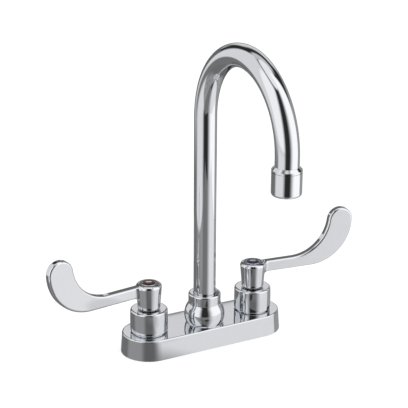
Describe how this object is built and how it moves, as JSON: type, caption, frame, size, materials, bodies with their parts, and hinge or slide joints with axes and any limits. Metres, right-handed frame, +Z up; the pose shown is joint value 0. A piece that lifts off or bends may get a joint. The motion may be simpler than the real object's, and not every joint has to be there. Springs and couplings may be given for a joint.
{
  "type": "basin faucet",
  "caption": "Centreset deck-mounted basin faucet: swivelling gooseneck spout, wrist-blade lever handles, quarter-turn valves and threaded supply shanks.",
  "frame": {"origin": "on the deck, in the middle of the base's underside, on the line that joins the two valve axes", "axes": "+X along the base to the cold side, -Y out over the basin, +Z up from the deck"},
  "size_m": [0.2924, 0.1683, 0.331],
  "materials": {
    "chrome_casting": "polished chrome plate on cast brass",
    "chrome_bells": "polished chrome plate on turned brass",
    "chrome_handles": "polished chrome plate on forged brass",
    "chrome_spout": "polished chrome plate on brass tube",
    "chrome_aerator": "polished chrome plate on turned brass",
    "bare_brass": "machined brass, unplated",
    "shank_brass": "threaded brass, unplated",
    "lock_nut_brass": "machined brass, unplated",
    "dull_nickel": "machined brass, dull nickel plate",
    "zinc_steel": "zinc-plated steel",
    "stainless": "stainless steel",
    "alumina": "lapped alumina",
    "nitrile": "black nitrile rubber",
    "foam_rubber": "closed-cell foam rubber",
    "acetal_white": "natural acetal",
    "acetal_grey": "grey acetal",
    "hot_red": "red enamel ring",
    "cold_blue": "blue enamel ring"
  },
  "bodies": {
    "faucet_body": {"body_casting": "chrome_casting", "deck_gasket": "foam_rubber", "mounting_washers": "zinc_steel", "lock_nuts": "lock_nut_brass", "seat_seals": "nitrile", "cartridge_o_rings": "nitrile", "hot_supply_shank": "shank_brass", "hot_valve_bell": "chrome_bells", "hot_cartridge_housing": "dull_nickel", "hot_fixed_disc": "alumina", "cold_supply_shank": "shank_brass", "cold_valve_bell": "chrome_bells", "cold_cartridge_housing": "dull_nickel", "cold_fixed_disc": "alumina", "spout_bell": "chrome_bells", "lower_slip_washer": "acetal_white", "upper_slip_washer": "acetal_white"},
    "hot_valve": {"hot_moving_disc": "alumina", "hot_stem": "dull_nickel", "hot_stem_o_rings": "nitrile", "hot_stem_clip": "stainless", "hot_handle": "chrome_handles", "hot_handle_screw": "stainless", "hot_index_button": "chrome_handles", "hot_index_ring": "hot_red"},
    "cold_valve": {"cold_moving_disc": "alumina", "cold_stem": "dull_nickel", "cold_stem_o_rings": "nitrile", "cold_stem_clip": "stainless", "cold_handle": "chrome_handles", "cold_handle_screw": "stainless", "cold_index_button": "chrome_handles", "cold_index_ring": "cold_blue"},
    "spout": {"spout_tail": "bare_brass", "spout_o_rings": "nitrile", "spout_tube": "chrome_spout", "outlet_adapter": "chrome_spout", "aerator_shell": "chrome_aerator", "aerator_screen": "stainless", "aerator_core": "acetal_grey", "aerator_washer": "nitrile"}
  },
  "joints": [
    {"name": "hot_turn", "type": "hinge", "parent": "faucet_body", "child": "hot_valve", "pos_m": [-0.0508, 0, 0.0412], "axis": [0, 0, 1], "range_deg": [0, 90]},
    {"name": "cold_turn", "type": "hinge", "parent": "faucet_body", "child": "cold_valve", "pos_m": [0.0508, 0, 0.0412], "axis": [0, 0, -1], "range_deg": [0, 90]},
    {"name": "spout_swivel", "type": "hinge", "parent": "faucet_body", "child": "spout", "pos_m": [0, -0.0051, 0.0348], "axis": [0, 0, 1], "continuous": true}
  ]
}
